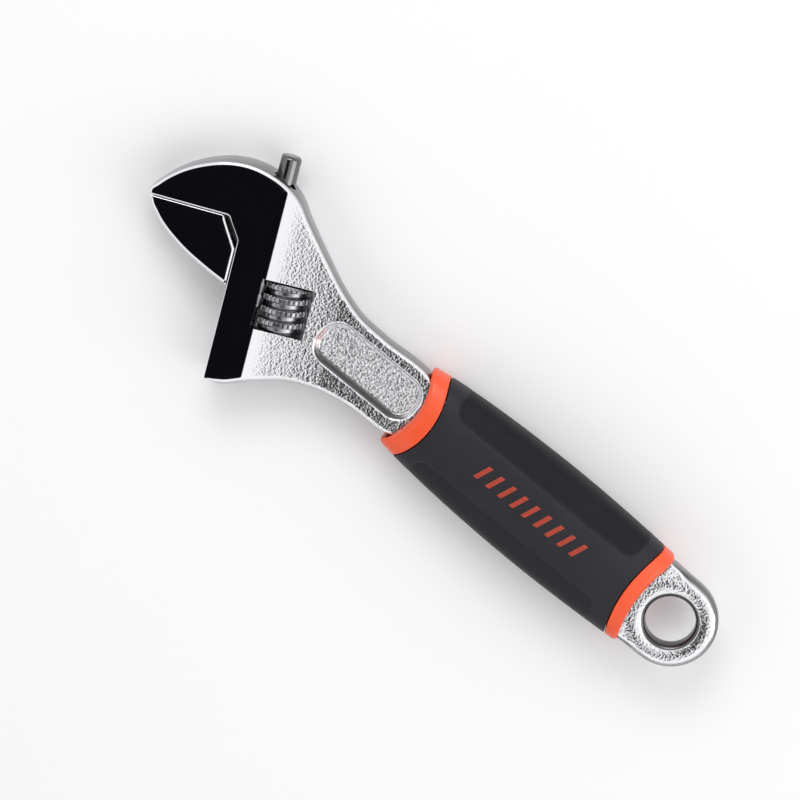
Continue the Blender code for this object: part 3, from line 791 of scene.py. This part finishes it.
def rail_body():
    """The jaw's rail: a round bar, chamfered at its ends, flat where the web was cut off its upper
    end, and cut by the thumb wheel's thread. At each point the bar keeps the largest radius whose
    point stays outside the thread with its clearance."""
    chamfer, flat_away, flat_end = 0.7 * MM, 2.55 * MM, 4.5 * MM
    rows = np.linspace(RAIL_TOP_Q, RAIL_FOOT_Q, 221)
    angle = full_turn(96)
    z, turn = np.meshgrid(rows, angle, indexing="ij")
    end = np.minimum(z - RAIL_TOP_Q, RAIL_FOOT_Q - z)
    limit = RAIL_RADIUS - np.clip(chamfer - end, 0.0, None)
    flat = flat_away / np.clip(-np.cos(turn), 0.05, None)
    flattened = (z < flat_end) & (np.cos(turn) < 0)
    limit = np.where(flattened, np.minimum(limit, flat), limit)
    radius = limit.copy()
    blocked = np.zeros_like(radius, bool)
    for share in np.linspace(0.5, 1.0, 26):
        r = limit * share
        dx, dy = r * np.cos(turn) - (WORM_P - RAIL_P), r * np.sin(turn)
        crest, root = WHEEL_RADIUS + THREAD_CLEARANCE, WHEEL_ROOT + THREAD_CLEARANCE
        thread = worm_radius(np.arctan2(dy, dx), z - WORM_Q, crest, root)
        hit = (np.hypot(dx, dy) < thread) & (z > RACK_TOP_Q)
        radius = np.where(hit & ~blocked, r, radius)
        blocked |= hit
    points = round_points(radius, turn, z)
    caps = np.array([[0.0, 0.0, RAIL_TOP_Q], [0.0, 0.0, RAIL_FOOT_Q]])
    count, sides = len(points), len(angle)
    ring = np.arange(sides)
    fan_low = np.column_stack([np.roll(ring, -1), ring, np.full(sides, count)])
    last = ring + count - sides
    fan_high = np.column_stack([last, np.roll(last, -1), np.full(sides, count + 1)])
    wall = triangles(grid_faces(len(rows), sides, wrap_columns=True))
    points = place(np.concatenate([points, caps]), slide_matrix(RAIL_P, 0.0))
    return mesh_object("rail_tool", points, np.concatenate([wall, fan_low, fan_high]))


def jaw_outline():
    """The sliding jaw's outline: its face, the eased inner corner, the shoulder and the curved back."""
    spots = [
        (-26.0, 0.3, "corner"), (-4.6, 0.3, "corner"), (0.7, 8.9, "corner"), (0.7, 19.8, "corner"),
        (-6.5, 16.7, "smooth"), (-15.3, 12.0, "smooth"), (-23.3, 5.3, "smooth"), (-25.9, 1.4, "smooth"),
    ]
    points = [slide_xy(p * MM, q * MM) for p, q, _ in spots]
    return even_outline(bezier_outline(points, [spot[2] for spot in spots]), 0.45 * MM, 0.3 * MM)


def build_jaw(sizes, colours):
    """The jaw's plate joined to its web and its toothed rail."""
    flat = lambda x, y: np.full_like(x, JAW_HALF)
    inner = hex_points(PLAN_LOW, PLAN_HIGH, 2.5 * MM)
    outline = jaw_outline()
    p = slide_p(outline[:, 0], outline[:, 1])
    q = slide_q(outline[:, 0], outline[:, 1])
    past_shoulder = p - np.minimum(0.0, (q - 8.9 * MM) * 0.62)
    back = smoothstep(0.4 * MM, 1.4 * MM, q) * smoothstep(1.2 * MM, 0.0, past_shoulder)
    rounding = sizes.jaw_round * (0.25 + 0.75 * back)
    loops = [(outline, outline_normals(outline), rounding)]
    jaw = forged_plate("sliding_jaw", loops, flat, flat, inner)
    web_low, web_high = (-1.5 * MM, -WEB_HALF, WEB_TOP_Q), (RAIL_P, WEB_HALF, 19.4 * MM)
    web = box("web_tool", web_low, web_high, slide_matrix(0.0, 0.0))
    carve(jaw, [("UNION", web), ("UNION", rail_body())])
    points = vertices(jaw)
    # Painted shade: rim marks the jaw's sides, which the plating material paints darker and makes rougher.
    rim = smoothstep(0.25 * MM, 0.9 * MM, JAW_HALF - np.abs(points[:, 2] - MID_Z))
    store(jaw, "grain", 0.05 * rim)
    store(jaw, "rim", rim)
    give(jaw, forged_chrome("plated_jaw", colours.chrome, 1.14))
    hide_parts("movable_jaw")
    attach(jaw, "jaw")


# ---- thumb wheel, pin and spring


def build_thumb_wheel(sizes, colours):
    """The thumb wheel: radius = the thread's, less a notch profile round its crest, held under a
    chamfer at both ends. Its end faces run in to the bore, which closes the surface."""
    angle = full_turn(360)
    rows = np.linspace(-WHEEL_HALF, WHEEL_HALF, 150)
    z, turn = np.meshgrid(rows, angle, indexing="ij")
    radius = worm_radius(turn, z, WHEEL_RADIUS, WHEEL_ROOT)
    share = (turn * sizes.knurl_cuts / (2 * math.pi)) % 1.0
    notch = np.clip(1.0 - np.abs(share - 0.5) * 4.0, 0.0, 1.0)
    rim = WHEEL_RADIUS - WHEEL_CHAMFER
    crest = smoothstep(rim, WHEEL_RADIUS - 0.05 * MM, radius)
    radius = radius - sizes.knurl_depth * notch * crest
    radius = np.minimum(radius, rim + WHEEL_HALF - np.abs(z))
    bore = np.full((1, len(angle)), PIN_RADIUS)
    radius = np.vstack([bore, radius, bore])
    z = np.vstack([z[:1], z, z[-1:]])
    turn = np.vstack([turn[:1], turn, turn[-1:]])
    points = round_points(radius, turn, z)
    faces = triangles(grid_faces(len(radius), len(angle), wrap_rows=True, wrap_columns=True))
    wheel = mesh_object("thumb_wheel", place(points, slide_matrix(WORM_P, WORM_Q)), faces, 50.0)
    give(wheel, turned_steel("thumb_wheel_steel", colours.steel))
    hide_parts("worm_knurl")
    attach(wheel, "worm")


def finish_pin_and_spring(colours):
    """The pin and its spring keep their solids and get a turned finish."""
    steel = turned_steel("pin_steel_finish", colours.steel)
    for node in ("worm_pin", "worm_spring"):
        give(frame["nodes"][node], steel)


# ---- grip


def grip_size(x):
    """Half width and half depth of the grip at a distance from the hanging hole: straight between its
    stations, then averaged over 4 mm each way."""
    size = []
    for stations in (GRIP_HALF_WIDTH, GRIP_HALF_DEPTH):
        before, at, after = (np.interp(x + step * MM, GRIP_X, stations) for step in (-4.0, 0.0, 4.0))
        size.append((before + at * 2 + after) / 4)
    return size


def section(angle, width, depth, power):
    """A superellipse: each axis is its half size times the cosine or sine to the power 2 / n."""
    c, s = np.cos(angle), np.sin(angle)
    y = width * np.sign(c) * np.abs(c) ** (2.0 / power)
    z = depth * np.sign(s) * np.abs(s) ** (2.0 / power)
    return y, z


def bowed(edge, y):
    """x of one of the grip's bowed edges at a distance y from the handle's axis."""
    centre_x, centre_y, radius, side = edge
    return centre_x + side * np.sqrt(np.maximum(radius**2 - (y - centre_y) ** 2, 0.0))


def grip_band(name, start, end, rows, relief=None):
    """A closed sleeve between two bowed edges. Each row says (share, offset, inset, core): x is a
    share of the way between the edges plus an offset, the section is the grip's less the inset, or
    a squarer core section where one is given. Rows join end to end round the sleeve's wall."""
    angle = full_turn(220)
    points = []
    for share, offset, inset, core in rows:
        y, z = section(angle, GRIP_HALF_WIDTH.mean(), GRIP_HALF_DEPTH.mean(), GRIP_POWER)
        for _ in range(5):
            low, high = bowed(start, y), bowed(end, y)
            x = low + (high - low) * share + offset
            if core is None:
                width, depth = grip_size(x)
                if relief is not None and inset < 1.0 * MM:
                    y, z = section(angle, width, depth, GRIP_POWER)
                    pressed = inset + relief(x, y)
                else:
                    pressed = inset
                y, z = section(angle, width - pressed, depth - pressed, GRIP_POWER)
            else:
                y, z = section(angle, core[0], core[1], 9.0)
        points.append(from_hole(x, y, z))
    grid = np.concatenate(points)
    faces = triangles(grid_faces(len(rows), len(angle), wrap_rows=True, wrap_columns=True))
    return mesh_object(name, grid, faces, 50.0)


def lip(share, sign, along, into):
    """Rows of a rounded lip at one edge: offset along(1 - cos a), inset into(1 - sin a)."""
    turns = np.linspace(0.0, math.pi / 2, 6)
    return [(share, sign * along * (1 - math.cos(a)), into * (1 - math.sin(a)), None) for a in turns]


def finger_share(x, y):
    """How far a point of the grip lies in one of its two finger panels, 0 to 1 over a crisp edge: a
    line a few millimetres off the axis with rounded ends."""
    low, high, edge, corner = -85.5 * MM, -19.5 * MM, 7.6 * MM, 4.5 * MM
    dx = np.abs(x - (low + high) / 2) - (high - low) / 2 + corner
    dy = edge - np.abs(y) + corner
    outer = np.hypot(np.maximum(dx, 0.0), np.maximum(dy, 0.0)) + np.minimum(np.maximum(dx, dy), 0.0)
    return smoothstep(0.0, 0.9 * MM, corner - outer)


def build_cover(sizes, colours):
    """The soft black cover between the two seams, with its finger panels pressed in and faded out
    towards the grip's widest line."""

    def relief(x, y):
        faded = smoothstep(15.5 * MM, 9.5 * MM, np.abs(y))
        return sizes.scallop_depth * finger_share(x, y) * faded

    inner = 1.9 * MM
    middle = [(share, 0.0, 0.0, None) for share in np.linspace(0.02, 0.98, 150)]
    edge = 0.35 * MM
    rows = lip(0.0, 1, edge, edge) + middle + lip(1.0, -1, edge, edge)[::-1]
    rows += [(share, 0.0, inner, None) for share in (1.0, 0.75, 0.5, 0.25, 0.0)]
    front = (FRONT_SEAM[0] + GAP, *FRONT_SEAM[1:])
    rear = (REAR_SEAM[0] - GAP, *REAR_SEAM[1:])
    cover = grip_band("grip_cover_skin", front, rear, rows, relief)
    x, y = vertices(cover)[:, :2].T - HOLE[:2, None]
    # Painted shade on the finger panels, deeper on the upper side than on the lower.
    store(cover, "panel", finger_share(x, y) * np.where(y > 0.0, 0.8, 0.3))
    give(cover, moulded("soft_black", colours.black, 0.72, 0.5, 2600.0, 0.00009, 0.006, 0.3))
    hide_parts("grip_cover")
    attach(cover, "frame")


def build_collars(colours):
    """The orange moulding's two visible collars. Each plan is its name, its two edges, the section of
    the forging that it closes in to, the lip at each edge and the span of its middle."""
    orange = moulded("orange_plastic", colours.orange, 0.86, 0.36, 1500.0, 0.00004)
    neck = (11.0 * MM, NECK_HALF + GAP)
    ring = (RING_RADIUS + GAP, RING_HALF + GAP)
    outer, seam = (1.7 * MM, 1.3 * MM), (0.3 * MM, 0.3 * MM)
    plans = (
        ("front_collar", FRONT_EDGE, FRONT_SEAM, neck, outer, seam, (0.42, 0.88)),
        ("rear_collar", REAR_SEAM, REAR_EDGE, ring, seam, outer, (0.12, 0.58)),
    )
    for name, start, end, core, first, last, span in plans:
        middle = [(share, 0.0, 0.0, None) for share in np.linspace(*span, 6)]
        rows = lip(0.0, 1, *first) + middle + lip(1.0, -1, *last)[::-1]
        rows += [(share, 0.0, 0.0, core) for share in (1.0, 0.5, 0.0)]
        collar = grip_band(name, start, end, rows)
        give(collar, orange)
        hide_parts("grip_core")
        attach(collar, "frame")


def build_print(sizes, colours):
    """A plain row of slanted dashes printed on the cover. Each dash is a thin pad on the grip's
    surface: a grid of points across and along it, lifted above the skin, closed by sunk walls."""
    count, across, along = 9, 7, 15
    half_width, half_length, lean, off_axis, sunk = 0.85 * MM, 2.7 * MM, 1.0 * MM, 0.8 * MM, 0.05 * MM
    centres = np.linspace(-68.4, -34.0, count) * MM
    u = np.linspace(-1.0, 1.0, across)
    v = np.linspace(-1.0, 1.0, along)
    c, s, t = np.meshgrid(centres, u, v, indexing="ij")
    x = c + s * half_width + t * lean
    y = off_axis + t * half_length
    width, depth = grip_size(x)
    z = depth * (1.0 - np.abs(y / width) ** GRIP_POWER) ** (1.0 / GRIP_POWER)
    edge = np.maximum(np.abs(s), np.abs(t)) >= 1.0
    top = z + np.where(edge, -sunk, sizes.print_height)
    grid = np.concatenate([from_hole(x, y, top).reshape(-1, 3), from_hole(x, y, z - sunk).reshape(-1, 3)])
    quads = triangles(grid_faces(across, along))
    size = across * along
    shift = (np.arange(count) * size)[:, None, None]
    upper = (quads[None] + shift).reshape(-1, 3)
    lower = upper[:, ::-1] + count * size
    faces = np.concatenate([upper, lower])
    dashes = mesh_object("printed_dashes", grid, faces, 60.0)
    give(dashes, ink("print_ink", colours.ink))
    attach(dashes, "frame")


# ---- stage


def build_floor(colours):
    """A plain floor, tipped by less than two degrees so that the wrench rests on its grip's belly and
    on the tip of its jaws."""
    belly_x, belly_z = HOLE[0] - 66.0 * MM, 0.2 * MM
    tip_x, tip_z = HOLE[0] - 190.5 * MM, MID_Z - HEAD_HALF
    slope = (tip_z - belly_z) / (tip_x - belly_x)
    reach = 1.6
    spots = np.array([[-reach, -reach], [reach, -reach], [reach, reach], [-reach, reach]])
    z = belly_z - 0.15 * MM + (spots[:, 0] - belly_x) * slope
    floor = mesh_object("floor", np.column_stack([spots, z]), np.array([[0, 1, 2, 3]]))
    n = Nodes("plain_floor")
    tone = n.noise(n.object_place(), 3.0, 2.0, 0.5)
    duller = [c * 0.98 for c in colours.floor]
    n.feed(n.shader, "Base Color", n.ramp(tone, (0.2, duller), (0.8, colours.floor)))
    n.feed(n.shader, "Roughness", 0.9)
    give(floor, n.material)


def add_light(name, place_at, size, power):
    """A soft rectangular lamp that faces the middle of the wrench."""
    data = bpy.data.lights.new(name, "AREA")
    data.shape = "RECTANGLE"
    data.size, data.size_y = size
    data.energy = power
    lamp = bpy.data.objects.new(name, data)
    lamp.location = place_at
    lamp.rotation_euler = (-Vector(place_at)).to_track_quat("-Z", "Y").to_euler()
    bpy.context.scene.collection.objects.link(lamp)


def build_sky():
    """A bright studio, dimmer towards the horizon, with one dark card overhead, which the polished
    cheek mirrors."""
    world = bpy.data.worlds.new("studio")
    world.use_nodes = True
    bpy.context.scene.world = world
    tree = world.node_tree
    way = tree.nodes.new("ShaderNodeTexCoord").outputs["Generated"]
    product = tree.nodes.new("ShaderNodeVectorMath")
    product.operation = "MULTIPLY"
    card = Vector((-0.09, -0.30, 1.0)).normalized()
    plans = ((card, (0.935, (1.0, 1.0, 1.0)), (0.972, (0.004, 0.0038, 0.006))),
             (Vector((0.0, 0.0, 1.0)), (0.0, (0.45, 0.45, 0.46)), (0.6, (1.0, 1.0, 1.0))))
    for slot, (direction, *stops) in enumerate(plans):
        dot = tree.nodes.new("ShaderNodeVectorMath")
        dot.operation = "DOT_PRODUCT"
        dot.inputs[1].default_value = direction
        ramp = tree.nodes.new("ShaderNodeValToRGB")
        for element, (position, tone) in zip(ramp.color_ramp.elements, stops):
            element.position = position
            element.color = (*tone, 1.0)
        tree.links.new(way, dot.inputs[0])
        tree.links.new(dot.outputs["Value"], ramp.inputs["Fac"])
        tree.links.new(ramp.outputs["Color"], product.inputs[slot])
    tree.links.new(product.outputs["Vector"], tree.nodes["Background"].inputs["Color"])


def build_camera():
    """A long lens about a metre over the wrench, a little above its crown side."""
    tilt = Vector((-0.061, 0.2398, 1.0)).normalized()
    distance = 0.9652
    roll = math.radians(40.415)
    aim = Vector((HOLE[0] - 98.703 * MM, HOLE[1] - 0.647 * MM, MID_Z))
    right = Vector((math.cos(roll), math.sin(roll), 0.0))
    right = (right - tilt * right.dot(tilt)).normalized()
    up = tilt.cross(right)
    data = bpy.data.cameras.new("camera")
    data.sensor_width = 36.0
    data.lens = 154.24
    data.clip_end = 20.0
    camera = bpy.data.objects.new("camera", data)
    turn = Matrix((right, up, tilt)).transposed().to_4x4()
    camera.matrix_world = Matrix.Translation(aim + tilt * distance) @ turn
    bpy.context.scene.collection.objects.link(camera)
    bpy.context.scene.camera = camera


# ---- operators and panel


class WRENCH_OT_forging(bpy.types.Operator):
    """Build the one-piece forging: fixed jaw, head, neck and hanging ring"""

    bl_idname = "wrench.forging"
    bl_label = "Forged Body"

    def execute(self, context):
        build_body(context.scene.wrench_sizes, context.scene.wrench_colours)
        return {"FINISHED"}


class WRENCH_OT_sliding_jaw(bpy.types.Operator):
    """Build the sliding jaw with its web and toothed rail"""

    bl_idname = "wrench.sliding_jaw"
    bl_label = "Sliding Jaw"

    def execute(self, context):
        build_jaw(context.scene.wrench_sizes, context.scene.wrench_colours)
        return {"FINISHED"}


class WRENCH_OT_thumb_wheel(bpy.types.Operator):
    """Build the knurled thumb wheel and finish its pin and spring"""

    bl_idname = "wrench.thumb_wheel"
    bl_label = "Thumb Wheel"

    def execute(self, context):
        build_thumb_wheel(context.scene.wrench_sizes, context.scene.wrench_colours)
        finish_pin_and_spring(context.scene.wrench_colours)
        return {"FINISHED"}


class WRENCH_OT_grip(bpy.types.Operator):
    """Build the orange collars, the soft black cover and its printed dashes"""

    bl_idname = "wrench.grip"
    bl_label = "Grip"

    def execute(self, context):
        sizes, colours = context.scene.wrench_sizes, context.scene.wrench_colours
        build_collars(colours)
        build_cover(sizes, colours)
        build_print(sizes, colours)
        return {"FINISHED"}


class WRENCH_OT_stage(bpy.types.Operator):
    """Build the floor, the studio light and the camera"""

    bl_idname = "wrench.stage"
    bl_label = "Stage"

    def execute(self, context):
        build_camera()
        build_floor(context.scene.wrench_colours)
        build_sky()
        add_light("key", (-0.55, 0.75, 0.8), (0.7, 0.5), 4.5)
        add_light("rim", (0.8, 0.25, 0.55), (0.5, 0.8), 2.4)
        context.scene.view_settings.view_transform = "Standard"
        return {"FINISHED"}


class WRENCH_PT_panel(bpy.types.Panel):
    """Lists the wrench's settings and the operators that build it"""

    bl_label = "Adjustable Wrench"
    bl_idname = "WRENCH_PT_panel"
    bl_space_type = "VIEW_3D"
    bl_region_type = "UI"
    bl_category = "Wrench"

    def draw(self, context):
        for group in (context.scene.wrench_sizes, context.scene.wrench_colours):
            column = self.layout.column()
            for key in group.__annotations__:
                column.prop(group, key)
        for operator in OPERATORS:
            self.layout.operator(operator.bl_idname)


OPERATORS = (
    WRENCH_OT_stage,
    WRENCH_OT_forging,
    WRENCH_OT_sliding_jaw,
    WRENCH_OT_thumb_wheel,
    WRENCH_OT_grip,
)
CLASSES = (WrenchSizes, WrenchColours, *OPERATORS, WRENCH_PT_panel)


def register():
    for cls in CLASSES:
        bpy.utils.register_class(cls)
    bpy.types.Scene.wrench_sizes = PointerProperty(type=WrenchSizes)
    bpy.types.Scene.wrench_colours = PointerProperty(type=WrenchColours)


def unregister():
    del bpy.types.Scene.wrench_colours
    del bpy.types.Scene.wrench_sizes
    for cls in reversed(CLASSES):
        bpy.utils.unregister_class(cls)


def main():
    register()
    bpy.ops.wrench.stage()
    bpy.ops.wrench.forging()
    bpy.ops.wrench.sliding_jaw()
    bpy.ops.wrench.thumb_wheel()
    bpy.ops.wrench.grip()


if __name__ == "__main__":
    main()
